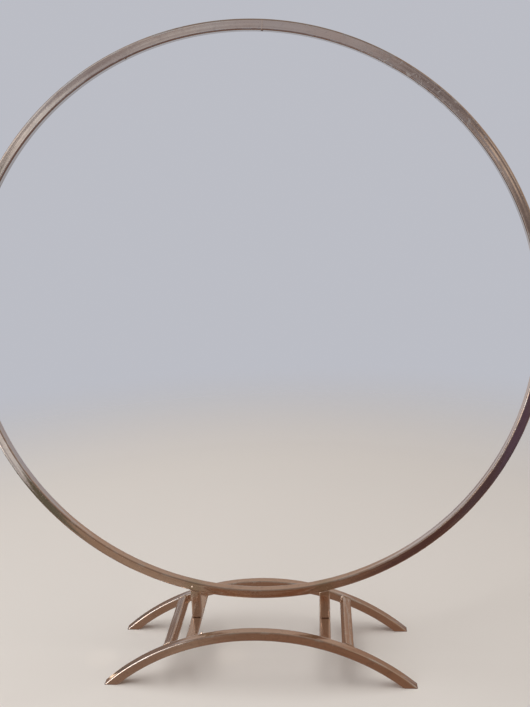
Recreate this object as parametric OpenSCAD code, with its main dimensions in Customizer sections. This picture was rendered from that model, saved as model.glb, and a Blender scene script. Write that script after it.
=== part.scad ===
// Wreath frame: a round hoop of square tube that stands on a low base of two arches.
// Frame: +Z up, +X to the right, hoop axis along Y. Origin: middle of the footprint, on the table.

/* [Tube] */
// Side of the square tube that the hoop, arches, cross-tubes and posts are made of
tube_side = 10; // [6:0.5:16]
// Wall thickness of the tube
tube_wall = 1; // [0.6:0.1:2]
// Outer corner radius of the tube
tube_corner = 1.5; // [1.2:0.1:2.5]

/* [Hoop] */
// Outer diameter of the hoop
hoop_d = 600; // [300:10:800]
// Clear gap between the hoop and the crown of the arches, measured in height
hoop_gap = 9; // [2:1:40]

/* [Base] */
// Outer radius of the arches
arch_r = 251; // [150:1:400]
// Height of the arches at the crown
arch_height = 65; // [40:1:120]
// Depth of the base, front face of the front arch to back face of the back arch
base_depth = 112; // [60:1:240]
// Distance of each cross-tube from the middle of the frame
cross_tube_x = 96; // [60:1:140]

/* [Posts and strips] */
// Distance of each post and strip from the middle of the frame
post_x = 72; // [30:1:100]
// Width of the flat strips
strip_width = 12; // [10:1:20]
// Thickness of the flat strips
strip_thickness = 2.5; // [2:0.5:5]
// Height of the strips' top face above the table
strip_top = 50; // [30:1:100]

/* [Fasteners] */
// Nominal diameter of the machine screws
screw_d = 4; // [3:1:5]
// Length of the screws under the head
screw_length = 13; // [10:1:20]
// Length of the threaded plugs inside the posts
plug_length = 12; // [6:1:20]

/* [Welds] */
// Radius of the weld beads
bead_r = 1.3; // [0.8:0.1:2]
// How far the seam weld of the hoop stands proud of the tube
seam_proud = 0.3; // [0.1:0.1:0.6]
// Turn of the hoop's seam away from the top, clockwise seen from the front
seam_turn = 5; // [-45:1:45]

/* [Output] */
// Sub-part to draw

/* [Hidden] */

// Sides of a circle in the preview, for small circles and for the big rings.
$fn = 96;
RING_FN = 720;
LEFT = -1;
RIGHT = 1;
FRONT = -1;
BACK = 1;

tube_bore = tube_side - 2 * tube_wall;
tube_flat = tube_side - 2 * tube_corner;
bore_corner = tube_corner - tube_wall;

hoop_r = hoop_d / 2;
hoop_z = arch_height + hoop_gap + hoop_r;
hoop_mid_r = hoop_r - tube_side / 2;

arch_z = arch_height - arch_r;
arch_mid_r = arch_r - tube_side / 2;
arch_y = (base_depth - tube_side) / 2;
span = base_depth - 2 * tube_side;
cross_tube_tilt = asin(cross_tube_x / arch_mid_r);

post_tilt = asin(post_x / hoop_r);
strip_bottom = strip_top - strip_thickness;
strip_corner = 0.8;
strip_hole_d = screw_d + 0.5;

washer_d = 9;
washer_thickness = 0.8;
lock_washer_d = 7.6;
lock_washer_thickness = 1;
lock_washer_slit = 0.8;
washer_play = 0.3;
head_d = 7.6;
head_thickness = 2.2;
socket_across_flats = 2.5;
socket_depth = 1.3;
thread_play = 0.1;
plug_play = 0.1;
drain_d = 3;

// Length of the seam, as an angle at the middle of the hoop.
seam_angle = 0.4;
seam_nub_r = 0.9;

// How far cutting shapes reach past the solid that they cut.
overrun = 1;

plating = [0.80, 0.66, 0.54];
weld_plating = [0.76, 0.61, 0.48];
zinc = [0.72, 0.73, 0.74];

// ---- shared shapes ----

// Rectangle with round corners, centred.
module rounded_rectangle(size_x, size_y, corner) {
    square([size_x - 2 * corner, size_y], center = true);
    square([size_x, size_y - 2 * corner], center = true);
    for (sx = [-1, 1], sy = [-1, 1])
        translate([sx * (size_x / 2 - corner), sy * (size_y / 2 - corner)])
            circle(r = corner);
}

// Outline of the tube with no bore, used to cut welds to fit against it.
module tube_outline() {
    rounded_rectangle(tube_side, tube_side, tube_corner);
}

// Cross-section of the tube.
module tube_section() {
    difference() {
        tube_outline();
        rounded_rectangle(tube_bore, tube_bore, bore_corner);
    }
}

// Sweeps the section given as a child round a full ring whose axis is Y.
module ring(mid_r) {
    rotate([90, 0, 0])
        rotate_extrude($fn = RING_FN)
            translate([mid_r, 0])
                children();
}

// Half of space above the table, large enough for one arch.
module above_table() {
    translate([0, 0, arch_r / 2])
        cube([3 * arch_r, 3 * tube_side, arch_r], center = true);
}

// Moves to the axis of a cross-tube: side is LEFT or RIGHT.
module at_cross_tube(side) {
    translate([0, 0, arch_z])
        rotate([0, side * cross_tube_tilt, 0])
            translate([0, 0, arch_mid_r])
                children();
}

// Moves to the axis of a post and its screw, with z still measured from the table.
module at_post(side) {
    translate([side * post_x, 0, 0])
        children();
}

// Moves to where a post meets the hoop, with Z pointing to the middle of the hoop.
module at_post_top(side) {
    translate([0, 0, hoop_z])
        rotate([0, -side * post_tilt, 0])
            translate([0, 0, -hoop_r])
                children();
}

// Square that covers one quarter of a bead whose centre is the origin.
module bead_quadrant(dir_x, dir_y) {
    translate([dir_x * bead_r, dir_y * bead_r])
        square(2 * bead_r, center = true);
}

// Extrudes a 2D shape along X. Its first coordinate becomes Y and its second one Z.
module along_x(length) {
    rotate([90, 0, 90])
        linear_extrude(height = length, center = true)
            children();
}

// Extrudes a 2D shape along Y. Its first coordinate stays X and its second one becomes Z.
module along_y(length) {
    rotate([90, 0, 0])
        linear_extrude(height = length, center = true)
            children();
}

// ---- hoop and posts ----

// The drain holes of the hoop open into the posts, where they are out of sight.
module hoop() {
    color(plating)
    difference() {
        translate([0, 0, hoop_z])
            ring(hoop_mid_r)
                tube_section();
        for (side = [LEFT, RIGHT])
            at_post_top(side)
                cylinder(d = drain_d, h = 2 * (tube_wall + overrun), center = true);
    }
}

// Thin raised band round the tube near the top of the hoop, with a nub on the inner edge.
module hoop_seam_weld() {
    color(weld_plating)
    translate([0, 0, hoop_z])
    rotate([0, seam_turn, 0])
    difference() {
        union() {
            rotate([90, 0, 0])
                rotate([0, 0, 90 - seam_angle / 2])
                    rotate_extrude(angle = seam_angle, $fn = RING_FN)
                        translate([hoop_mid_r, 0])
                            rounded_rectangle(tube_side + 2 * seam_proud, tube_side + 2 * seam_proud,
                                              tube_corner + seam_proud);
            translate([0, -tube_side / 2 + tube_corner, hoop_r - tube_side])
                sphere(r = seam_nub_r);
        }
        ring(hoop_mid_r)
            tube_outline();
    }
}

// A post is coped to the round underside of the hoop.
module post(side) {
    color(plating)
    difference() {
        at_post(side)
            translate([0, 0, strip_top])
                linear_extrude(height = hoop_z - hoop_mid_r - strip_top)
                    tube_section();
        translate([0, 0, hoop_z])
            rotate([90, 0, 0])
                cylinder(r = hoop_r, h = 2 * tube_side, center = true, $fn = RING_FN);
    }
}

// Four beads, one on each face of the post, in the corner between the post and the hoop.
module post_weld(side) {
    color(weld_plating) {
        for (face = [-1, 1]) {
            corner_x = side * post_x + face * tube_side / 2;
            corner_z = hoop_z - sqrt(hoop_r * hoop_r - corner_x * corner_x);
            along_y(tube_flat)
                difference() {
                    translate([corner_x, corner_z])
                        circle(r = bead_r);
                    translate([0, hoop_z])
                        circle(r = hoop_r, $fn = RING_FN);
                    translate([side * post_x, corner_z])
                        square([tube_side, 4 * bead_r], center = true);
                }
        }
        at_post_top(side)
            for (face = [-1, 1])
                along_x(tube_flat)
                    difference() {
                        translate([face * tube_side / 2, 0])
                            circle(r = bead_r);
                        translate([0, tube_side / 2])
                            tube_outline();
                        translate([0, -tube_side / 2])
                            square(tube_side, center = true);
                    }
    }
}

// Square plug with a threaded hole, flush with the lower end of the post.
module threaded_plug(side) {
    color(zinc)
    at_post(side)
        translate([0, 0, strip_top])
            linear_extrude(height = plug_length)
                difference() {
                    rounded_rectangle(tube_bore - plug_play, tube_bore - plug_play, bore_corner + plug_play);
                    circle(d = screw_d);
                }
}

// ---- base ----

// An arch is part of a ring, cut level where it stands on the table.
module arch(end) {
    color(plating)
    translate([0, end * arch_y, 0])
        intersection() {
            translate([0, 0, arch_z])
                ring(arch_mid_r)
                    tube_section();
            above_table();
        }
}

module cross_tube(side) {
    color(plating)
    at_cross_tube(side)
        along_y(span)
            tube_section();
}

// The hole for the screw is in the middle of the strip.
module mounting_strip(side) {
    color(plating)
    difference() {
        at_post(side)
            translate([0, 0, strip_bottom + strip_thickness / 2])
                along_y(span)
                    rounded_rectangle(strip_width, strip_thickness, strip_corner);
        at_post(side)
            translate([0, 0, strip_bottom - overrun])
                cylinder(d = strip_hole_d, h = strip_thickness + 2 * overrun);
    }
}

// Four beads, one on each face of the cross-tube. The upper and lower ones fill the groove
// that the round corners of the arch leave.
module cross_tube_weld(side, end) {
    color(weld_plating)
    at_cross_tube(side)
        translate([0, end * span / 2, 0])
            for (face = [-1, 1]) {
                linear_extrude(height = tube_flat, center = true)
                    translate([face * tube_side / 2, 0])
                        intersection() {
                            circle(r = bead_r);
                            bead_quadrant(face, -end);
                        }
                along_x(tube_flat)
                    difference() {
                        translate([0, face * tube_side / 2])
                            circle(r = bead_r);
                        translate([end * tube_side / 2, 0])
                            tube_outline();
                        translate([-end * tube_side / 2, 0])
                            square(tube_side, center = true);
                    }
            }
}

// One bead across the top of the strip.
module strip_weld(side, end) {
    color(weld_plating)
    translate([side * post_x, end * span / 2, strip_top])
        along_x(strip_width - 2 * strip_corner)
            intersection() {
                circle(r = bead_r);
                bead_quadrant(-end, 1);
            }
}

// ---- fasteners, stacked under each strip ----

module washer(outer_d, hole_d, thickness) {
    linear_extrude(height = thickness)
        difference() {
            circle(d = outer_d);
            circle(d = hole_d);
        }
}

module flat_washers() {
    color(zinc)
    for (side = [LEFT, RIGHT])
        at_post(side)
            translate([0, 0, strip_bottom - washer_thickness])
                washer(washer_d, screw_d + washer_play, washer_thickness);
}

// Each lock washer is a ring with one slit.
module lock_washers() {
    color(zinc)
    for (side = [LEFT, RIGHT])
        at_post(side)
            translate([0, 0, strip_bottom - washer_thickness - lock_washer_thickness])
                difference() {
                    washer(lock_washer_d, screw_d + washer_play, lock_washer_thickness);
                    translate([lock_washer_d / 2, 0, lock_washer_thickness / 2])
                        cube([lock_washer_d, lock_washer_slit, 2 * lock_washer_thickness], center = true);
                }
}

// Button-head screws with a hexagon socket, driven upwards.
module mounting_screws() {
    head_top = strip_bottom - washer_thickness - lock_washer_thickness;
    socket_d = socket_across_flats / cos(30);
    color(zinc)
    for (side = [LEFT, RIGHT])
        at_post(side)
            translate([0, 0, head_top])
                difference() {
                    union() {
                        translate([0, 0, -head_thickness])
                            cylinder(d = head_d, h = head_thickness);
                        cylinder(d = screw_d - thread_play, h = screw_length);
                    }
                    translate([0, 0, -head_thickness - overrun])
                        cylinder(d = socket_d, h = socket_depth + overrun, $fn = 6);
                }
}

// ---- output ----

hoop();
hoop_seam_weld();
post(LEFT);  // left_post
post(RIGHT);  // right_post
post_weld(LEFT);  // left_post_weld
post_weld(RIGHT);  // right_post_weld
threaded_plug(LEFT);  // left_threaded_plug
threaded_plug(RIGHT);  // right_threaded_plug
mounting_screws();
flat_washers();
lock_washers();
arch(FRONT);  // front_arch
arch(BACK);  // back_arch
cross_tube(LEFT);  // left_cross_tube
cross_tube(RIGHT);  // right_cross_tube
mounting_strip(LEFT);  // left_mounting_strip
mounting_strip(RIGHT);  // right_mounting_strip
cross_tube_weld(LEFT, FRONT);  // left_cross_tube_front_weld
cross_tube_weld(LEFT, BACK);  // left_cross_tube_back_weld
cross_tube_weld(RIGHT, FRONT);  // right_cross_tube_front_weld
cross_tube_weld(RIGHT, BACK);  // right_cross_tube_back_weld
strip_weld(LEFT, FRONT);  // left_strip_front_weld
strip_weld(LEFT, BACK);  // left_strip_back_weld
strip_weld(RIGHT, FRONT);  // right_strip_front_weld
strip_weld(RIGHT, BACK);  // right_strip_back_weld
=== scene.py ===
"""The looks of the wreath frame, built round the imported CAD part. Metres, +Z up, front at -Y."""

import math

import bmesh
import bpy
import numpy as np
from mathutils import Matrix, Vector


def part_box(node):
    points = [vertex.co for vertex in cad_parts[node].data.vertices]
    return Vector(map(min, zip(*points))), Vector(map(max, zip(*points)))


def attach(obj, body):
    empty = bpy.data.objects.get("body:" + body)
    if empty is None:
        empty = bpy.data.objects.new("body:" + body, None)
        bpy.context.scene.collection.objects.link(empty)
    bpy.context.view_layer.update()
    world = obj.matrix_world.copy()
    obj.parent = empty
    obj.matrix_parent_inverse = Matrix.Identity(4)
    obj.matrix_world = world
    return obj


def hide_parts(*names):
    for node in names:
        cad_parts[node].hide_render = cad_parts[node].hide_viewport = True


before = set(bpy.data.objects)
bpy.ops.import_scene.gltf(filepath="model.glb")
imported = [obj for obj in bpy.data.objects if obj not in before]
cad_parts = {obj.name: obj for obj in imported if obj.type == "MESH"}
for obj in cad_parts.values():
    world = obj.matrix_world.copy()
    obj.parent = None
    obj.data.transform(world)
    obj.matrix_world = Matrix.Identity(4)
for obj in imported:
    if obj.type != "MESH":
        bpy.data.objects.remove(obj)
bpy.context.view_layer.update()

MM = 0.001


def mm(*sizes):
    """Sizes given in millimetres, in metres."""
    return [size * MM for size in sizes]


# ---- sizes, read from the frame ----

hoop_low, hoop_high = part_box("hoop")
TUBE = hoop_high.y - hoop_low.y
HOOP_R = (hoop_high.x - hoop_low.x) / 2
HOOP_Z = (hoop_high.z + hoop_low.z) / 2
HOOP_MID_R = HOOP_R - TUBE / 2

seam_low, seam_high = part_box("hoop_seam_weld")
SEAM_TURN = math.atan2((seam_low.x + seam_high.x) / 2, (seam_low.z + seam_high.z) / 2 - HOOP_Z)

front_low, front_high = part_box("front_arch")
ARCH_HALF_SPAN = front_high.x
ARCH_HEIGHT = front_high.z
ARCH_R = (ARCH_HALF_SPAN**2 + ARCH_HEIGHT**2) / (2 * ARCH_HEIGHT)
ARCH_Z = ARCH_HEIGHT - ARCH_R
ARCH_MID_R = ARCH_R - TUBE / 2
ARCH_Y = abs(front_low.y) - TUBE / 2
INNER_Y = ARCH_Y - TUBE / 2

strip_low, strip_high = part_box("right_mounting_strip")
STRIP_WIDTH = strip_high.x - strip_low.x
STRIP_THICKNESS = strip_high.z - strip_low.z
STRIP_TOP = strip_high.z
POST_X = (strip_low.x + strip_high.x) / 2

cross_low, cross_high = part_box("right_cross_tube")
CROSS_X = (cross_low.x + cross_high.x) / 2
CROSS_TILT = math.asin(CROSS_X / ARCH_MID_R)

# ---- sizes the frame's boxes don't give ----

WALL = 1.0 * MM
CORNER = 1.5 * MM
STRIP_CORNER = 0.8 * MM
STRIP_HOLE_R = 2.25 * MM
# A bent tube's faces sink a little between their corners.
DISH = 0.13 * MM
# Slow unevenness of the bent tubes, always inwards.
WAVE = 0.05 * MM
BEAD_R = 0.95 * MM
STRIP_BEAD_R = 0.75 * BEAD_R
SEAM_BEAD_R = 0.27 * MM
# How far the beads at the arches lean away from the arch, as a share of how far they stand out.
BEAD_LEAN = 0.6
LUMP_ROUGHNESS = 0.012

# A stray nib of weld metal sits on the hoop's inner edge, left of the top.
NIB_TURN = math.radians(-21.3)

# How many rings of points each kind of tube is made of.
HOOP_RINGS = 900
ARCH_RINGS = 260
STRAIGHT_RINGS = 40
# Edges with a sharper turn than this stay crisp or get a bevel.
SHARP = math.radians(40)

LEFT, RIGHT = -1, 1
FRONT, BACK = -1, 1

# ---- camera, and the window that draws the bright edges ----

CAMERA = Vector((0.2541, -2.5206, 1.7768)) * HOOP_R
CAMERA_TURN, CAMERA_DOWN, CAMERA_ROLL = (math.radians(angle) for angle in (-4.53, 13.37, -2.23))
CAMERA_LENS = 38.5
CAMERA_SENSOR = 36
WINDOW = Vector((-2.07, -1.10, 1.30)) * HOOP_R

rng = np.random.default_rng(7)


# ---- mesh code ----


def rounded_outline(width, height, corner, per_corner=8, per_side=6, dish=0.0):
    """Points round a rectangle with round corners: (x, y, how near a corner from 0 to 1)."""
    points = []
    centres = [(1, 1), (-1, 1), (-1, -1), (1, -1)]
    for k, (sx, sy) in enumerate(centres):
        centre = Vector((sx * (width / 2 - corner), sy * (height / 2 - corner)))
        for i in range(per_corner + 1):
            angle = math.pi / 2 * (k + i / per_corner)
            away = Vector((math.cos(angle), math.sin(angle)))
            points.append((*(centre + corner * away), 1.0))
        next_x, next_y = centres[(k + 1) % 4]
        end = Vector((next_x * (width / 2 - corner), next_y * (height / 2 - corner)))
        side_angle = math.pi / 2 * (k + 1)
        side_out = Vector((math.cos(side_angle), math.sin(side_angle)))
        for i in range(1, per_side):
            share = i / per_side
            sink = dish * math.sin(math.pi * share)
            place = centre.lerp(end, share) + side_out * (corner - sink)
            points.append((*place, abs(2 * share - 1) ** 6))
    return points


def skin(name, rings, closed, edge=None):
    """A tube of quads through rings of points, with a UV map in metres and an edge mask."""
    rings = np.asarray(rings, float)
    count, around = rings.shape[:2]
    steps = count if closed else count - 1
    faces = []
    for i in range(steps):
        j = (i + 1) % count
        for k in range(around):
            m = (k + 1) % around
            faces.append((i * around + k, j * around + k, j * around + m, i * around + m))
    mesh = bpy.data.meshes.new(name)
    mesh.from_pydata(rings.reshape(-1, 3).tolist(), [], faces)
    steps_along = np.linalg.norm(np.roll(rings, -1, 0) - rings, axis=2).mean(1)
    steps_across = np.linalg.norm(np.roll(rings[0], -1, 0) - rings[0], axis=1)
    along = np.concatenate([[0], np.cumsum(steps_along)])
    across = np.concatenate([[0], np.cumsum(steps_across)])
    uv = mesh.uv_layers.new(name="UVMap")
    coords = []
    for i in range(steps):
        for k in range(around):
            u0, u1, v0, v1 = along[i], along[i + 1], across[k], across[k + 1]
            coords += [u0, v0, u1, v0, u1, v1, u0, v1]
    uv.data.foreach_set("uv", coords)
    mask = mesh.attributes.new("edge", "FLOAT", "POINT")
    values = np.zeros((count, around)) if edge is None else np.tile(np.asarray(edge, float), (count, 1))
    mask.data.foreach_set("value", values.ravel().astype(np.float32))
    mesh.polygons.foreach_set("use_smooth", [True] * len(mesh.polygons))
    piece = bpy.data.objects.new(name, mesh)
    bpy.context.scene.collection.objects.link(piece)
    return piece


def outward(piece):
    """Turns all faces of a closed mesh outwards."""
    work = bmesh.new()
    work.from_mesh(piece.data)
    bmesh.ops.recalc_face_normals(work, faces=work.faces)
    work.to_mesh(piece.data)
    work.free()
    return piece


def join_ring_ends(piece, pairs):
    """Closes the open ends: each pair is two lists of vertex numbers, an outer and an inner ring."""
    work = bmesh.new()
    work.from_mesh(piece.data)
    work.verts.ensure_lookup_table()
    for outer, inner in pairs:
        for k in range(len(outer)):
            m = (k + 1) % len(outer)
            corners = [work.verts[n] for n in (outer[k], outer[m], inner[m], inner[k])]
            work.faces.new(corners)
    bmesh.ops.recalc_face_normals(work, faces=work.faces)
    work.to_mesh(piece.data)
    work.free()


def slow_waves(count, wave_turns, closed=True):
    """A smooth random line of numbers from 0 to 1: a sum of waves, each with its number of turns."""
    at = np.linspace(0, 2 * math.pi, count, endpoint=not closed)
    total = np.zeros(count)
    for turns in wave_turns:
        total += np.sin(turns * at + rng.uniform(0, 2 * math.pi)) / math.sqrt(turns)
    total -= total.min()
    return total / max(total.max(), 1e-9)


def bent_tube_rings(mid_r, centre, half_angle, outline, dents, closed):
    """Rings of a tube bent round an axis along Y, one for each dent.

    The tube is cut at half_angle(radius) to either side of the top, which may differ with the radius.
    """
    rings = []
    count = len(dents)
    for i, dent in enumerate(dents):
        share = i / count if closed else i / (count - 1)
        ring = []
        sink = 1 - dent * WAVE / TUBE
        for x, y, _ in outline:
            radius = mid_r + x * sink
            half = half_angle(radius)
            angle = -half + 2 * half * share
            across = radius * math.sin(angle)
            ring.append((across, centre.y + y * sink, centre.z + radius * math.cos(angle)))
        rings.append(ring)
    return rings


def straight_rings(outline, start, end, axis_x, axis_y, count):
    """Rings of a straight tube from start to end, with the outline's own axes given."""
    rings = []
    for i in range(count):
        at = Vector(start).lerp(Vector(end), i / (count - 1))
        rings.append([at + axis_x * x + axis_y * y for x, y, _ in outline])
    return rings


def edges_of(outline):
    """How near each point of an outline is to a corner."""
    return [nearness for _, _, nearness in outline]


def cap_ends(piece, around, count):
    """Closes both ends of a tube of count rings, each with around points."""
    work = bmesh.new()
    work.from_mesh(piece.data)
    work.verts.ensure_lookup_table()
    for first in (0, (count - 1) * around):
        work.faces.new([work.verts[first + k] for k in range(around)])
    bmesh.ops.recalc_face_normals(work, faces=work.faces)
    work.to_mesh(piece.data)
    work.free()


def drill(piece, centre, radius, length):
    """Cuts a round hole along Z."""
    tool_mesh = bpy.data.meshes.new("drill")
    work = bmesh.new()
    place = Matrix.Translation(centre)
    bmesh.ops.create_cone(
        work, cap_ends=True, segments=64, radius1=radius, radius2=radius, depth=length, matrix=place
    )
    work.to_mesh(tool_mesh)
    work.free()
    tool = bpy.data.objects.new("drill", tool_mesh)
    bpy.context.scene.collection.objects.link(tool)
    cut = piece.modifiers.new("hole", "BOOLEAN")
    cut.operation = "DIFFERENCE"
    cut.object = tool
    cut.solver = "EXACT"
    bpy.context.view_layer.update()
    evaluated = piece.evaluated_get(bpy.context.evaluated_depsgraph_get())
    drilled = bpy.data.meshes.new_from_object(evaluated)
    piece.modifiers.remove(cut)
    piece.data = drilled
    piece.data.set_sharp_from_angle(angle=SHARP)
    bpy.data.objects.remove(tool)


# ---- places on the part ----


def hoop_point(turn, radius, y):
    """A point of the hoop's plane or near it, turned clockwise from the top."""
    return Vector((radius * math.sin(turn), y, HOOP_Z + radius * math.cos(turn)))


def hoop_ahead(turn):
    """The direction along the hoop at a turn, clockwise."""
    return Vector((math.cos(turn), 0, -math.sin(turn)))


def hoop_underside(x):
    return HOOP_Z - math.sqrt(HOOP_R**2 - x**2)


def side_name(side):
    return "left" if side == LEFT else "right"


def end_name(end):
    return "front" if end == FRONT else "back"


# ---- materials ----


class Nodes:
    """Short calls for building a node tree."""

    def __init__(self, tree):
        self.tree = tree

    def add(self, kind, **settings):
        node = self.tree.nodes.new(kind)
        for key, value in settings.items():
            setattr(node, key, value)
        return node

    def link(self, source, target):
        self.tree.links.new(source, target)

    def coordinates(self, stretch, use_uv=True):
        """UV or object coordinates, in metres, scaled."""
        source = self.add("ShaderNodeTexCoord").outputs["UV" if use_uv else "Object"]
        mapping = self.add("ShaderNodeMapping")
        mapping.inputs["Scale"].default_value = stretch
        self.link(source, mapping.inputs["Vector"])
        return mapping.outputs["Vector"]

    def space(self):
        """Object coordinates, in metres."""
        return self.coordinates((1, 1, 1), use_uv=False)

    def split(self, vector):
        """The X, Y and Z of a vector."""
        node = self.add("ShaderNodeSeparateXYZ")
        self.link(vector, node.inputs["Vector"])
        return [node.outputs[axis] for axis in "XYZ"]

    def distance(self, vector, centre):
        node = self.add("ShaderNodeVectorMath", operation="DISTANCE")
        self.link(vector, node.inputs[0])
        node.inputs[1].default_value = centre
        return node.outputs["Value"]

    def noise(self, vector, scale, detail=3.0, roughness=0.55, distortion=0.0):
        node = self.add("ShaderNodeTexNoise")
        node.inputs["Scale"].default_value = scale
        node.inputs["Detail"].default_value = detail
        node.inputs["Roughness"].default_value = roughness
        node.inputs["Distortion"].default_value = distortion
        self.link(vector, node.inputs["Vector"])
        return node.outputs["Fac"]

    def remap(self, value, low, high, to_low=0.0, to_high=1.0):
        """A smooth step from to_low, at low, to to_high, at high."""
        node = self.add("ShaderNodeMapRange", interpolation_type="SMOOTHSTEP")
        node.inputs["From Min"].default_value = low
        node.inputs["From Max"].default_value = high
        node.inputs["To Min"].default_value = to_low
        node.inputs["To Max"].default_value = to_high
        self.link(value, node.inputs["Value"])
        return node.outputs["Result"]

    def math(self, operation, a, b=0.0):
        node = self.add("ShaderNodeMath", operation=operation)
        for socket, value in zip(node.inputs, (a, b)):
            if isinstance(value, (int, float)):
                socket.default_value = value
            else:
                self.link(value, socket)
        return node.outputs[0]

    def both(self, a, b):
        """The product of two masks."""
        return self.math("MULTIPLY", a, b)

    def mix(self, factor, a, b):
        node = self.add("ShaderNodeMix", data_type="RGBA")
        self.link(factor, node.inputs["Factor"])
        for socket, value in ((node.inputs["A"], a), (node.inputs["B"], b)):
            if isinstance(value, tuple):
                socket.default_value = (*value, 1.0)
            else:
                self.link(value, socket)
        return node.outputs["Result"]

    def bump(self, height, distance, strength, under=None):
        node = self.add("ShaderNodeBump")
        node.inputs["Strength"].default_value = strength
        node.inputs["Distance"].default_value = distance
        self.link(height, node.inputs["Height"])
        if under is not None:
            self.link(under, node.inputs["Normal"])
        return node.outputs["Normal"]

    def edge_mask(self):
        return self.add("ShaderNodeAttribute", attribute_name="edge").outputs["Fac"]


class MaterialNodes(Nodes):
    """The node tree of a new material."""

    def __init__(self, name):
        self.material = bpy.data.materials.new(name)
        self.material.use_nodes = True
        super().__init__(self.material.node_tree)
        self.shader = self.tree.nodes["Principled BSDF"]

    def finish(self, colour, roughness, normal):
        """Makes the shader a metal with this colour, roughness and normal."""
        self.shader.inputs["Metallic"].default_value = 1.0
        self.link(colour, self.shader.inputs["Base Color"])
        self.link(roughness, self.shader.inputs["Roughness"])
        self.link(normal, self.shader.inputs["Normal"])
        return self.material

    def finish_glowing(self, colour):
        """Ends the material in plain emission instead of its shader."""
        emission = self.add("ShaderNodeEmission")
        self.link(colour, emission.inputs["Color"])
        self.link(emission.outputs[0], self.tree.nodes["Material Output"].inputs["Surface"])
        return self.material


PLATING = (0.86, 0.71, 0.60)
PLATING_WARM = (0.87, 0.665, 0.53)
PLATING_DULL = (0.64, 0.51, 0.43)
PLATING_WORN = (0.90, 0.83, 0.76)
PLATING_OLIVE = (0.60, 0.53, 0.38)
PLATING_SHADED = (0.50, 0.46, 0.43)
# Painted shade for the gap in the posts' bolted joint.
JOINT_SHADE = (0.36, 0.25, 0.19)
WELD = (0.80, 0.63, 0.50)
WELD_DARK = (0.52, 0.38, 0.28)
ZINC = (0.72, 0.74, 0.76)
ZINC_DULL = (0.52, 0.53, 0.54)

# The scuffed stretch at the hoop's upper right: the turn of its middle, its reach and how softly it fades.
SCUFF_TURN = math.radians(38)
SCUFF_REACH = 115 * MM
SCUFF_FADE = 80 * MM

# The hoop's front face is dulled by heat over each post weld, a little outside the post's middle.
HEAT_X = 1.02 * POST_X
HEAT_REACH = 16 * MM
HEAT_FADE = 13 * MM


def near(n, space, centre, radius, soft):
    """1 inside a round region of the object, 0 outside."""
    return n.remap(n.distance(space, centre), radius - soft, radius, 1.0, 0.0)


def scuff_marks(n, space):
    """1 on the chipped flecks of the hoop's scuffed stretch."""
    stretch = near(n, space, hoop_point(SCUFF_TURN, HOOP_MID_R, 0), SCUFF_REACH, SCUFF_FADE)
    chips = n.noise(space, 210, detail=3, distortion=0.5)
    return n.both(stretch, n.remap(chips, 0.58, 0.64))


def heat_marks(n, space):
    """1 on the hoop's front face over the two post welds."""
    height = hoop_underside(POST_X) + TUBE / 2
    places = [(side * HEAT_X, -TUBE / 2, height) for side in (LEFT, RIGHT)]
    marks = [near(n, space, place, HEAT_REACH, HEAT_FADE) for place in places]
    return n.math("MAXIMUM", *marks)


def upper_inner_face_shade(n, space):
    """Near 1 on the inner face of the hoop's upper part: painted shade, standing in for a dimmer
    reflection there.
    """
    x, _, z = n.split(space)
    height = n.math("SUBTRACT", z, HOOP_Z)
    radius = n.math("SQRT", n.math("ADD", n.math("MULTIPLY", x, x), n.math("MULTIPLY", height, height)))
    inner = HOOP_R - TUBE
    on_inner_face = n.remap(radius, inner + 0.2 * MM, inner + 0.7 * MM, 1.0, 0.0)
    return n.both(on_inner_face, n.remap(height, 0.1 * HOOP_R, 0.4 * HOOP_R, 0.0, 0.9))


def post_foot_shade(n, space):
    """1 on the lowest stretch of the posts: painted shade in the gap of the bolted joint."""
    _, _, z = n.split(space)
    above = n.remap(z, STRIP_TOP + 0.05 * MM, STRIP_TOP + 0.10 * MM)
    below = n.remap(z, STRIP_TOP + 0.6 * MM, STRIP_TOP + 1.1 * MM, 1.0, 0.0)
    return n.both(above, below)


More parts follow.
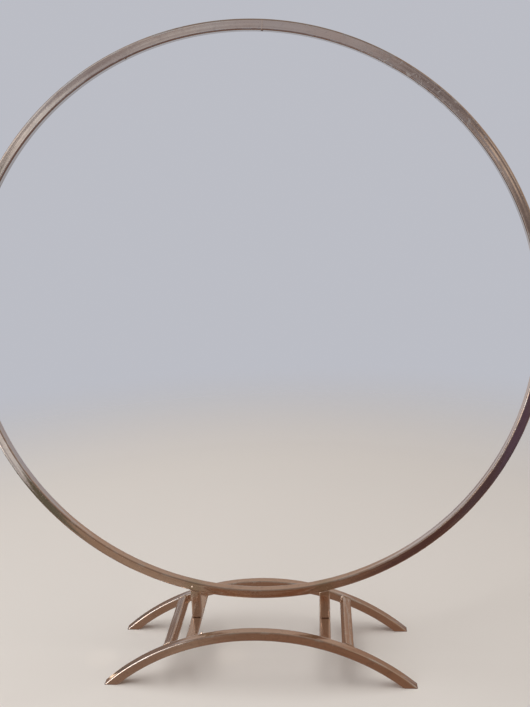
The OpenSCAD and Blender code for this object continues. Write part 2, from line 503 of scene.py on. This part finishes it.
def plating_material(name, haze, has_foot_shade=False, streak_share=0.0):
    """Mirror-bright rose-gold plating: drawing lines, orange peel, pits, smears, worn corners, painted
    shade on the hoop's upper inner face.

    Haze is extra roughness. has_foot_shade adds painted shade in the bolted joint at the posts' feet,
    streak_share pale rubbed streaks.
    """
    n = MaterialNodes(name)
    space = n.space()
    clouds = n.noise(space, 9, detail=4)
    smears = n.noise(space, 55, detail=5, distortion=0.8)
    mottle = n.noise(space, 240, detail=4)
    bands = n.noise(n.coordinates((6, 420, 1)), 1.0, detail=3, roughness=0.6)
    lines = n.noise(n.coordinates((14, 2600, 1)), 1.0, detail=4, roughness=0.6)
    peel = n.noise(space, 420, detail=2)
    pits = n.remap(n.noise(space, 1500, detail=2), 0.70, 0.76)
    wear = n.both(n.remap(n.edge_mask(), 0.5, 1.0), n.remap(smears, 0.48, 0.62, 0.0, 0.8))
    scuffs = scuff_marks(n, space)
    heat = heat_marks(n, space)

    colour = n.mix(n.remap(clouds, 0.35, 0.65), PLATING, PLATING_WARM)
    colour = n.mix(n.remap(bands, 0.45, 0.75, 0.0, 0.5), colour, PLATING_DULL)
    colour = n.mix(n.remap(smears, 0.58, 0.78, 0.0, 0.6), colour, PLATING_DULL)
    colour = n.mix(n.remap(mottle, 0.52, 0.72, 0.0, 0.45), colour, PLATING_DULL)
    colour = n.mix(wear, colour, PLATING_WORN)
    colour = n.mix(n.math("MULTIPLY", heat, 0.6), colour, PLATING_OLIVE)
    colour = n.mix(scuffs, colour, PLATING_WORN)
    # Painted shade: the hoop's upper inner face is darkened, standing in for a dimmer reflection.
    colour = n.mix(upper_inner_face_shade(n, space), colour, PLATING_SHADED)
    colour = n.mix(n.math("MULTIPLY", pits, 0.6), colour, PLATING_DULL)

    rough = n.math("ADD", n.remap(smears, 0.35, 0.75, 0.06, 0.16), n.remap(lines, 0.3, 0.7, 0.0, 0.03))
    marks = [(wear, 0.08), (scuffs, 0.42), (heat, 0.10), (pits, 0.2)]
    if streak_share:
        long_grain = n.noise(n.coordinates((700, 25, 700), use_uv=False), 1.0, detail=3)
        streaks = n.remap(long_grain, 0.48, 0.66, 0.0, streak_share)
        colour = n.mix(streaks, colour, PLATING_WORN)
        marks.append((streaks, 0.3))
    if has_foot_shade:
        # Painted shade in the gap of the bolted joint at the posts' feet.
        colour = n.mix(post_foot_shade(n, space), colour, JOINT_SHADE)
    for mark, extra in marks:
        rough = n.math("ADD", rough, n.math("MULTIPLY", mark, extra))
    rough = n.math("ADD", rough, haze)

    normal = n.bump(peel, 0.03 * MM, 0.6)
    normal = n.bump(bands, 0.05 * MM, 0.8, normal)
    normal = n.bump(lines, 0.008 * MM, 0.7, normal)
    normal = n.bump(n.math("SUBTRACT", 1.0, pits), 0.05 * MM, 0.8, normal)
    return n.finish(colour, rough, normal)


def weld_material():
    """Weld beads under the same plating: duller, with soot-brown grain."""
    n = MaterialNodes("plated_weld")
    space = n.space()
    grain = n.noise(space, 700, detail=4)
    patches = n.noise(space, 240, detail=4)
    colour = n.mix(n.remap(patches, 0.40, 0.68), WELD, PLATING)
    colour = n.mix(n.remap(grain, 0.52, 0.72, 0.0, 0.7), colour, WELD_DARK)
    rough = n.remap(grain, 0.3, 0.7, 0.12, 0.30)
    return n.finish(colour, rough, n.bump(grain, 0.08 * MM, 0.7))


def zinc_material():
    """Bright zinc plating on the fasteners, with fine grain and spangle."""
    n = MaterialNodes("zinc_steel")
    space = n.space()
    spangle = n.add("ShaderNodeTexVoronoi")
    spangle.inputs["Scale"].default_value = 1400
    n.link(space, spangle.inputs["Vector"])
    grain = n.noise(space, 900, detail=4)
    colour = n.mix(n.remap(grain, 0.4, 0.7), ZINC, ZINC_DULL)
    rough = n.remap(spangle.outputs["Distance"], 0.0, 0.6, 0.22, 0.38)
    return n.finish(colour, rough, n.bump(grain, 0.02 * MM, 0.6))


plating = plating_material("rose_gold_plating", haze=0.0)
post_plating = plating_material("post_plating", haze=0.03, has_foot_shade=True)
strip_plating = plating_material("strip_plating", haze=0.10)
cross_plating = plating_material("cross_plating", haze=0.04, streak_share=0.9)
weld = weld_material()
zinc = zinc_material()


def finish_piece(piece, material, slot, *nodes):
    """The piece gets its material, rides on the part's one body and stands for its CAD nodes."""
    piece.data.materials.clear()
    piece.data.materials.append(material)
    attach(piece, "root")
    if nodes:
        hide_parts(*nodes)
    return piece


# ---- hoop, posts and their welds ----


def tube_outline(dish=DISH):
    return rounded_outline(TUBE, TUBE, CORNER, dish=dish)


def make_hoop():
    outline = tube_outline()
    dents = slow_waves(HOOP_RINGS, (5, 9, 14, 23))
    centre = Vector((0, 0, HOOP_Z))

    def half_turn(radius):
        return math.pi

    rings = bent_tube_rings(HOOP_MID_R, centre, half_turn, outline, dents, closed=True)
    piece = outward(skin("hoop_tube", rings, closed=True, edge=edges_of(outline)))
    return finish_piece(piece, plating, "rose_gold_plating", "hoop")


def bead_rings(path, sides_out, radius, ripple, per_turn=12):
    """Rings of a rippled bead along a closed path, each with the way that points out of the metal."""
    rings = []
    count = len(path)
    for i, (at, away) in enumerate(zip(path, sides_out)):
        ahead = (path[(i + 1) % count] - path[i - 1]).normalized()
        across = ahead.cross(away).normalized()
        swell = radius * (1 + 0.10 * math.sin(ripple * 2 * math.pi * i / count))
        ring = []
        for k in range(per_turn):
            angle = 2 * math.pi * k / per_turn
            ring.append(at + (across * math.cos(angle) + away * math.sin(angle)) * swell)
        rings.append(ring)
    return rings


def bead_loop(name, outline, place, out_of_joint, radius, node, ripple=26):
    """A weld bead round a tube's outline. place() maps an outline point to the frame."""
    path = [place(x, y) for x, y, _ in outline]
    middle = sum(path, Vector()) / len(path)
    away = [((p - middle).normalized() + out_of_joint).normalized() for p in path]
    piece = skin(name, bead_rings(path, away, radius, ripple), closed=True)
    return finish_piece(outward(piece), weld, "plated_weld", node)


def facing_the_light(at):
    """The way a flat must face to send the window's light to the camera."""
    return ((CAMERA - at).normalized() + (WINDOW - at).normalized()).normalized()


def add_lump(piece, at, along, sizes, flat=None):
    """Adds a lump of weld metal to a piece. Sizes: half length, half width, half thickness."""
    at = Vector(at)
    flat = Vector(flat).normalized() if flat else facing_the_light(at)
    along = Vector(along)
    along = (along - flat * along.dot(flat)).normalized()
    across = flat.cross(along)
    work = bmesh.new()
    work.from_mesh(piece.data)
    for vertex in bmesh.ops.create_icosphere(work, subdivisions=4, radius=1)["verts"]:
        rough = 1 + rng.normal(0, LUMP_ROUGHNESS)
        x, y, z = vertex.co * rough
        vertex.co = at + along * x * sizes[0] + across * y * sizes[1] + flat * z * sizes[2]
        for face in vertex.link_faces:
            face.smooth = True
    work.to_mesh(piece.data)
    work.free()


def make_seam():
    """The butt weld near the top of the hoop: a thin proud band, a nub, and a stray nib further left."""
    outline = rounded_outline(TUBE - 0.2 * MM, TUBE - 0.2 * MM, CORNER)
    centre = hoop_point(SEAM_TURN, HOOP_MID_R, 0)
    path = [hoop_point(SEAM_TURN, HOOP_MID_R + x, y) for x, y, _ in outline]
    away = [(p - centre).normalized() for p in path]
    piece = outward(skin("hoop_seam", bead_rings(path, away, SEAM_BEAD_R, ripple=30), closed=True))
    inner_edge = HOOP_R - TUBE
    nub = hoop_point(SEAM_TURN, inner_edge, -TUBE / 2 + CORNER)
    add_lump(piece, nub, hoop_ahead(SEAM_TURN), mm(1.3, 0.8, 0.6), flat=centre - nub)
    nib = hoop_point(NIB_TURN, inner_edge, -TUBE / 2 + CORNER)
    add_lump(piece, nib, hoop_ahead(NIB_TURN), mm(1.3, 0.8, 0.7), flat=Vector((0, 0, HOOP_Z)) - nib)
    return finish_piece(piece, plating, "rose_gold_plating", "hoop_seam_weld")


def make_post(side):
    """A square post. Its foot has a small chamfer round the bolted joint."""
    chamfer = 0.35 * MM
    gap = 0.1 * MM
    reach_into_hoop = 0.4 * MM
    outline = tube_outline(dish=0.0)
    centre_x = side * POST_X
    foot = STRIP_TOP + gap
    # Each ring: height above the foot in metres, share of the way up, and how far it draws in.
    levels = [(0, 0, chamfer), (chamfer * 0.3, 0, chamfer * 0.3), (chamfer, 0, 0)]
    levels += [(chamfer * 1.6, share, 0) for share in (0, 0.01, 0.25, 0.5, 0.75, 1.0)]
    rings = []
    for rise, share, draw_in in levels:
        ring = []
        for x, y, _ in outline:
            top = hoop_underside(centre_x + x) + reach_into_hoop
            low = foot + rise
            shrink = 1 - 2 * draw_in / TUBE
            ring.append((centre_x + x * shrink, y * shrink, low + (top - low) * share))
        rings.append(ring)
    piece = skin(f"{side_name(side)}_post_tube", rings, closed=False, edge=edges_of(outline))
    return finish_piece(outward(piece), post_plating, "rose_gold_plating", f"{side_name(side)}_post")


def make_post_weld(side):
    outline = rounded_outline(TUBE, TUBE, CORNER, per_side=14)
    centre_x = side * POST_X

    def place(x, y):
        return Vector((centre_x + x, y, hoop_underside(centre_x + x)))

    name = f"{side_name(side)}_post_bead"
    bead = bead_loop(name, outline, place, Vector((0, 0, -1)), BEAD_R, f"{side_name(side)}_post_weld")
    if side == LEFT:
        spatter = (centre_x - 0.3 * TUBE, -TUBE / 2, hoop_underside(centre_x) + 0.6 * TUBE)
        add_lump(bead, spatter, (1, 0, -0.3), mm(1.5, 1.0, 0.25))
    return bead


# ---- base ----


def make_arch(end):
    """An arch is a hollow tube, bent, and cut level where it stands."""
    outline = tube_outline()
    inside = rounded_outline(TUBE - 2 * WALL, TUBE - 2 * WALL, CORNER - WALL)
    centre = Vector((0, end * ARCH_Y, ARCH_Z))

    def half_angle(radius):
        return math.acos(-ARCH_Z / radius)

    dents = slow_waves(ARCH_RINGS, (3, 5, 8, 13), closed=False)
    no_dents = np.zeros(ARCH_RINGS)
    outer = bent_tube_rings(ARCH_MID_R, centre, half_angle, outline, dents, closed=False)
    inner = bent_tube_rings(ARCH_MID_R, centre, half_angle, inside, no_dents, closed=False)
    piece = skin(f"{end_name(end)}_arch_tube", outer, closed=False, edge=edges_of(outline))
    bore = skin("bore", inner, closed=False)
    with bpy.context.temp_override(active_object=piece, selected_editable_objects=[piece, bore]):
        bpy.ops.object.join()
    around = len(outline)
    last = (ARCH_RINGS - 1) * around
    shift = ARCH_RINGS * around
    ends = []
    for first in (0, last):
        ends.append((range(first, first + around), range(shift + first, shift + first + around)))
    join_ring_ends(piece, ends)
    return finish_piece(piece, plating, "rose_gold_plating", f"{end_name(end)}_arch")


def cross_axes(side):
    """The middle of a cross-tube, and its cross-section's two axes: along the arch, and outwards."""
    tilt = side * CROSS_TILT
    away = Vector((math.sin(tilt), 0, math.cos(tilt)))
    along = Vector((math.cos(tilt), 0, -math.sin(tilt)))
    return Vector((0, 0, ARCH_Z)) + away * ARCH_MID_R, along, away


def make_cross_tube(side):
    centre, along, away = cross_axes(side)
    outline = tube_outline(dish=DISH / 2)
    reach = Vector((0, INNER_Y, 0))
    rings = straight_rings(outline, centre - reach, centre + reach, along, away, STRAIGHT_RINGS)
    piece = skin(f"{side_name(side)}_cross_bar", rings, closed=False, edge=edges_of(outline))
    node = f"{side_name(side)}_cross_tube"
    return finish_piece(outward(piece), cross_plating, "rose_gold_plating", node)


def make_cross_weld(side, end):
    centre, along, away = cross_axes(side)
    outline = rounded_outline(TUBE - 0.4 * MM, TUBE - 0.4 * MM, CORNER, per_side=14)
    at = centre + Vector((0, end * INNER_Y, 0))

    def place(x, y):
        return at + along * x + away * y

    name = f"{side_name(side)}_cross_bead_{end_name(end)}"
    node = f"{side_name(side)}_cross_tube_{end_name(end)}_weld"
    bead = bead_loop(name, outline, place, Vector((0, -end * BEAD_LEAN, 0)), BEAD_R, node)
    inwards = Vector((0, -end, 0))
    if (side, end) == (RIGHT, BACK):
        corner = at + away * 0.36 * TUBE - along * 0.55 * TUBE + inwards * 0.8 * MM
        add_lump(bead, corner, away + inwards * 0.5, mm(2.8, 1.8, 0.35))
    if (side, end) == (LEFT, FRONT):
        top = at + away * 0.52 * TUBE + inwards * 0.6 * MM
        add_lump(bead, top, along, mm(4.0, 1.0, 0.5))
    return bead


def make_strip(side):
    """A flat strip with rounded edges and the screw's hole in its middle."""
    outline = rounded_outline(STRIP_WIDTH, STRIP_THICKNESS, STRIP_CORNER)
    centre = Vector((side * POST_X, 0, STRIP_TOP - STRIP_THICKNESS / 2))
    reach = Vector((0, INNER_Y, 0))
    across, up = Vector((1, 0, 0)), Vector((0, 0, 1))
    rings = straight_rings(outline, centre - reach, centre + reach, across, up, STRAIGHT_RINGS)
    piece = skin(f"{side_name(side)}_strip", rings, closed=False, edge=edges_of(outline))
    cap_ends(piece, len(outline), STRAIGHT_RINGS)
    drill(piece, centre, STRIP_HOLE_R, 2 * STRIP_THICKNESS)
    node = f"{side_name(side)}_mounting_strip"
    return finish_piece(outward(piece), strip_plating, "rose_gold_plating", node)


def make_strip_weld(side, end):
    outline = rounded_outline(STRIP_WIDTH, STRIP_THICKNESS, STRIP_CORNER, per_side=16)
    at = Vector((side * POST_X, end * INNER_Y, STRIP_TOP - STRIP_THICKNESS / 2))

    def place(x, y):
        return at + Vector((x, 0, y))

    name = f"{side_name(side)}_strip_bead_{end_name(end)}"
    node = f"{side_name(side)}_strip_{end_name(end)}_weld"
    bead = bead_loop(name, outline, place, Vector((0, -end * BEAD_LEAN, 0)), STRIP_BEAD_R, node)
    if (side, end) == (LEFT, FRONT):
        x = at.x + STRIP_WIDTH
        spatter = (x, -INNER_Y - 0.3 * MM, ARCH_Z + math.sqrt(ARCH_R**2 - x**2) - 0.1 * MM)
        add_lump(bead, spatter, (1, 0, 0.2), mm(1.7, 1.2, 0.3))
    return bead


# ---- fasteners: the CAD shapes stay, with softened edges ----

FASTENERS = (
    "mounting_screws",
    "flat_washers",
    "lock_washers",
    "left_threaded_plug",
    "right_threaded_plug",
)


def dress_fasteners():
    for name in FASTENERS:
        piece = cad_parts[name]
        piece.data.materials.clear()
        piece.data.materials.append(zinc)
        bevel = piece.modifiers.new("soft_edges", "BEVEL")
        bevel.width = 0.12 * MM
        bevel.segments = 2
        bevel.limit_method = "ANGLE"
        bevel.angle_limit = SHARP


make_hoop()
make_seam()
for side in (LEFT, RIGHT):
    make_post(side)
    make_post_weld(side)
    make_cross_tube(side)
    make_strip(side)
    for end in (FRONT, BACK):
        make_cross_weld(side, end)
        make_strip_weld(side, end)
for end in (FRONT, BACK):
    make_arch(end)
dress_fasteners()


# ---- stage ----

FLOOR_TONE = (0.80, 0.76, 0.71)
FLOOR_R = 1.5
FLOOR_FADE_START = 0.55
FLOOR_FADE_END = 1.35


def link_to_stage(name, mesh):
    """A new object that is not part of the wreath frame."""
    piece = bpy.data.objects.new(name, mesh)
    bpy.context.scene.collection.objects.link(piece)
    return piece


def disc(name, radius, z):
    mesh = bpy.data.meshes.new(name)
    work = bmesh.new()
    bmesh.ops.create_circle(work, cap_ends=True, segments=96, radius=radius)
    work.to_mesh(mesh)
    work.free()
    piece = link_to_stage(name, mesh)
    piece.location.z = z
    return piece


def fade_out(n, start, end):
    """Fades a material's shader to transparent between two distances from the middle."""
    mix = n.add("ShaderNodeMixShader")
    n.link(n.remap(n.distance(n.space(), (0, 0, 0)), start, end), mix.inputs["Fac"])
    n.link(n.shader.outputs[0], mix.inputs[1])
    n.link(n.add("ShaderNodeBsdfTransparent").outputs[0], mix.inputs[2])
    n.link(mix.outputs[0], n.tree.nodes["Material Output"].inputs["Surface"])


def make_floor():
    """A plain pale floor that fades into the backdrop. The metal sees the warm card instead."""
    floor = disc("floor", FLOOR_R, 0.0)
    n = MaterialNodes("floor_paper")
    n.shader.inputs["Base Color"].default_value = (*FLOOR_TONE, 1.0)
    n.shader.inputs["Roughness"].default_value = 0.85
    fade_out(n, FLOOR_FADE_START, FLOOR_FADE_END)
    floor.data.materials.append(n.material)
    floor.visible_glossy = False


def only_for_the_metal(piece):
    """The piece is seen in reflections, and lights and hides nothing else."""
    piece.visible_camera = False
    piece.visible_diffuse = False
    piece.visible_shadow = False
    piece.visible_transmission = False


# The warm card is lighter at the left, where the window is, and dim at the right.
CARD_LEFT = (0.30, 0.235, 0.19)
CARD_MIDDLE = (0.195, 0.122, 0.088)
CARD_RIGHT_FRONT = (0.078, 0.042, 0.040)
CARD_NEAR_LEFT = (0.225, 0.155, 0.12)
CARD_LEFT_BACK = (0.15, 0.125, 0.115)
CARD_RIM_LEFT = (0.115, 0.112, 0.088)
CARD_RIM_RIGHT = (0.075, 0.052, 0.062)
CARD_BOARD_LINES = (0.11, 0.065, 0.045)
CARD_BESIDE_POST = (1.3, 1.08, 0.85)
CARD_R = 0.71
CARD_Z = 0.15 * MM
CARD_RIM_START = 0.43
CARD_RIM_END = 0.50
# Bright spots at the left of each post: each one draws a line of light down the post's left edge.
BESIDE_POSTS = ((-POST_X - 0.113, -0.01, 0), (POST_X - 0.107, 0, 0))
BESIDE_POST_R = 23 * MM
BESIDE_POST_FADE = 10 * MM


def make_warm_card():
    """A warm card under the frame. Only the metal sees it, as it would see a wooden table."""
    card = disc("warm_card", CARD_R, CARD_Z)
    n = MaterialNodes("warm_card")
    space = n.space()
    x, y, _ = n.split(space)

    colour = n.mix(n.remap(x, -0.13, -0.02), CARD_LEFT, CARD_MIDDLE)
    near_left = n.both(n.remap(y, -0.16, -0.10), n.remap(x, -0.13, -0.06, 1.0, 0.0))
    colour = n.mix(near_left, colour, CARD_NEAR_LEFT)
    left_back = n.both(n.remap(y, -0.01, 0.05), n.remap(x, -0.22, -0.15, 1.0, 0.0))
    colour = n.mix(left_back, colour, CARD_LEFT_BACK)
    right_front = n.both(n.remap(x, 0.05, 0.17), n.remap(y, -0.24, -0.08, 1.0, 0.0))
    colour = n.mix(right_front, colour, CARD_RIGHT_FRONT)

    boards = n.noise(n.coordinates((9, 60, 1), use_uv=False), 1.0, detail=4)
    colour = n.mix(n.remap(boards, 0.45, 0.75, 0.0, 0.35), colour, CARD_BOARD_LINES)
    rim = n.mix(n.remap(x, -0.15, 0.05), CARD_RIM_LEFT, CARD_RIM_RIGHT)
    colour = n.mix(n.remap(n.distance(space, (0, 0, 0)), CARD_RIM_START, CARD_RIM_END), colour, rim)
    for spot in BESIDE_POSTS:
        colour = n.mix(near(n, space, spot, BESIDE_POST_R, BESIDE_POST_FADE), colour, CARD_BESIDE_POST)
    card.data.materials.append(n.finish_glowing(colour))
    only_for_the_metal(card)


def upright(centre, width, low_z, high_z):
    """The corners of an upright board that faces the frame."""
    centre = Vector(centre)
    across = Vector((centre.y, -centre.x)).normalized() * width / 2
    left, right = centre - across, centre + across
    return [(*left, low_z), (*right, low_z), (*right, high_z), (*left, high_z)]


def level(half_width, front_y, back_y, z):
    """The corners of a level board."""
    front = [(-half_width, front_y, z), (half_width, front_y, z)]
    back = [(half_width, back_y, z), (-half_width, back_y, z)]
    return front + back


def make_board(name, corners, low_colour, high_colour):
    """A glowing board with four corners, in one colour at its foot and another at its head."""
    mesh = bpy.data.meshes.new(name)
    mesh.from_pydata(corners, [], [(0, 1, 2, 3)])
    board = link_to_stage(name, mesh)
    low_z = corners[0][2]
    high_z = corners[2][2]
    n = MaterialNodes(name)
    _, _, z = n.split(n.space())
    upwards = n.remap(z, low_z + 0.2 * (high_z - low_z), high_z + MM)
    board.data.materials.append(n.finish_glowing(n.mix(upwards, low_colour, high_colour)))
    only_for_the_metal(board)


WINDOW_LOW = (4.2, 3.9, 3.75)
WINDOW_HIGH = (1.3, 1.15, 1.0)
ROOM_LOW = (0.18, 0.12, 0.09)
ROOM_HIGH = (0.16, 0.115, 0.09)
CANOPY = (0.20, 0.14, 0.11)
BEHIND_LOW = (0.28, 0.205, 0.165)
BEHIND_HIGH = (0.30, 0.22, 0.18)


def make_boards():
    """What the metal sees close by: a tall window, the dim room in front, something warm behind."""
    window = upright(WINDOW.xy, width=0.15, low_z=0.02, high_z=0.80)
    make_board("window_board", window, WINDOW_LOW, WINDOW_HIGH)
    room = upright((0.0, -0.35), width=0.50, low_z=0.02, high_z=0.24)
    make_board("front_board", room, ROOM_LOW, ROOM_HIGH)
    canopy = level(half_width=0.28, front_y=-0.36, back_y=-0.09, z=0.30)
    make_board("front_canopy", canopy, CANOPY, CANOPY)
    behind = upright((0.50, 0.42), width=0.50, low_z=0.02, high_z=0.33)
    make_board("back_board", behind, BEHIND_LOW, BEHIND_HIGH)


# ---- surround: its colour by direction, seen as the backdrop and mirrored in the metal ----

BACKDROP = (0.50, 0.51, 0.56)
ROOM = (0.33, 0.34, 0.39)
SIDE_WALL = (0.35, 0.37, 0.43)
BEHIND_ABOVE = (0.37, 0.30, 0.26)
FAR_LEFT = (0.21, 0.16, 0.14)
LOW_RIGHT = (0.12, 0.10, 0.10)
AHEAD_ABOVE = (0.21, 0.185, 0.17)
CEILING = (0.22, 0.20, 0.19)
AHEAD_LEVEL = (0.17, 0.155, 0.16)
AHEAD_RIGHT = (0.13, 0.115, 0.12)
SIDE_LIGHT = (0.34, 0.275, 0.215)
WINDOW_SIDE = (0.57, 0.61, 0.66)
AHEAD_LOW = (0.088, 0.064, 0.100)

# Soft round patches in the room ahead: direction, radius and softness (on a ball of radius 1), and colour.
PATCHES_BY_THE_WINDOW = (
    ((-0.17, -0.97, 0.16), 0.065, 0.06, (0.44, 0.48, 0.54)),
    ((-0.27, -0.957, 0.11), 0.06, 0.05, (0.24, 0.225, 0.25)),
    ((-0.17, -0.98, 0.05), 0.055, 0.05, (0.25, 0.235, 0.25)),
)
PATCHES_OVER_ALL = (
    ((0.16, -0.98, 0.08), 0.09, 0.09, (0.145, 0.135, 0.15)),
    ((0.222, -0.975, 0.0), 0.048, 0.02, (0.56, 0.50, 0.45)),
    ((-0.35, -0.935, 0.06), 0.035, 0.04, (0.80, 0.86, 0.92)),
    ((-0.415, -0.91, -0.01), 0.06, 0.012, (0.10, 0.095, 0.09)),
)


def lay_patches(n, direction, colour, patches):
    for centre, radius, soft, patch_colour in patches:
        apart = n.distance(direction, Vector(centre).normalized())
        share = n.remap(apart, radius - soft / 2, radius + soft / 2, 1.0, 0.0)
        colour = n.mix(share, colour, patch_colour)
    return colour


def make_world():
    """Soft studio surround: pale backdrop behind, dim overhead, bright window side at the left."""
    world = bpy.data.worlds.new("studio")
    bpy.context.scene.world = world
    world.use_nodes = True
    n = Nodes(world.node_tree)
    direction = n.add("ShaderNodeTexCoord").outputs["Generated"]
    x, y, z = n.split(direction)

    behind = n.remap(y, 0.0, 0.5)
    ahead = n.remap(y, -0.6, -0.2, 1.0, 0.0)
    colour = n.mix(behind, ROOM, BACKDROP)
    colour = n.mix(n.remap(x, -0.50, -0.40, 1.0, 0.0), colour, SIDE_WALL)
    colour = n.mix(n.remap(x, 0.32, 0.42), colour, SIDE_WALL)
    colour = n.mix(n.both(behind, n.remap(z, 0.24, 0.36)), colour, BEHIND_ABOVE)
    colour = n.mix(n.both(n.remap(x, -0.52, -0.46, 1.0, 0.0), n.remap(y, 0.3, 0.6)), colour, FAR_LEFT)
    low_right = n.both(n.remap(z, -0.45, -0.10, 1.0, 0.0), n.remap(x, -0.2, 0.3))
    low_right = n.both(low_right, n.remap(y, 0.4, 0.8, 1.0, 0.0))
    colour = n.mix(low_right, colour, LOW_RIGHT)
    colour = n.mix(n.both(ahead, n.remap(z, 0.24, 0.38)), colour, AHEAD_ABOVE)
    colour = n.mix(n.remap(z, 0.60, 0.85), colour, CEILING)

    near_level = n.both(n.remap(z, -0.30, -0.20), n.remap(z, -0.02, 0.04, 1.0, 0.0))
    colour = n.mix(n.both(ahead, near_level), colour, AHEAD_LEVEL)
    colour = n.mix(n.both(ahead, n.remap(x, 0.27, 0.36)), colour, AHEAD_RIGHT)
    colour = n.mix(n.both(n.remap(x, 0.38, 0.50), n.remap(y, -0.1, 0.1, 1.0, 0.0)), colour, SIDE_LIGHT)

    colour = n.mix(n.both(ahead, n.remap(x, -0.36, -0.31, 1.0, 0.0)), colour, WINDOW_SIDE)
    colour = lay_patches(n, direction, colour, PATCHES_BY_THE_WINDOW)
    low = n.both(ahead, n.remap(z, -0.30, -0.12, 1.0, 0.0))
    colour = n.mix(n.both(low, n.remap(x, -0.30, -0.12)), colour, AHEAD_LOW)
    colour = lay_patches(n, direction, colour, PATCHES_OVER_ALL)
    n.link(colour, n.tree.nodes["Background"].inputs["Color"])
    n.tree.nodes["Background"].inputs["Strength"].default_value = 1.0


def area_light(name, place, aim, size, power):
    """A soft lamp that the metal doesn't mirror."""
    light = bpy.data.lights.new(name, "AREA")
    light.shape = "RECTANGLE"
    light.size, light.size_y = size
    light.energy = power
    lamp = bpy.data.objects.new(name, light)
    lamp.location = place
    lamp.rotation_mode = "QUATERNION"
    lamp.rotation_quaternion = (Vector(aim) - Vector(place)).to_track_quat("-Z", "Y")
    lamp.visible_glossy = False
    lamp.visible_camera = False
    bpy.context.scene.collection.objects.link(lamp)


def make_lights():
    area_light("overhead", place=(-0.3, -0.2, 2.2), aim=(0, 0, 0), size=(1.8, 1.8), power=31)
    area_light("window", place=(-1.5, -1.1, 1.3), aim=(0, 0, HOOP_Z), size=(0.7, 1.1), power=6)


def make_camera():
    """The photograph's viewpoint, with its turn, tilt and roll."""
    heading = Vector((math.sin(CAMERA_TURN), math.cos(CAMERA_TURN), 0))
    ahead = heading * math.cos(CAMERA_DOWN) - Vector((0, 0, math.sin(CAMERA_DOWN)))
    right = Vector((heading.y, -heading.x, 0))
    up = right.cross(ahead)
    rolled_right = right * math.cos(CAMERA_ROLL) + up * math.sin(CAMERA_ROLL)
    rolled_up = up * math.cos(CAMERA_ROLL) - right * math.sin(CAMERA_ROLL)
    camera = bpy.data.objects.new("camera", bpy.data.cameras.new("camera"))
    axes = Matrix((rolled_right, rolled_up, -ahead)).transposed()
    camera.matrix_world = Matrix.Translation(CAMERA) @ axes.to_4x4()
    camera.data.sensor_width = CAMERA_SENSOR
    camera.data.lens = CAMERA_LENS
    camera.data.clip_start = 0.01
    bpy.context.scene.collection.objects.link(camera)
    bpy.context.scene.camera = camera


make_floor()
make_warm_card()
make_boards()
make_world()
make_lights()
make_camera()
bpy.context.scene.view_settings.view_transform = "Standard"
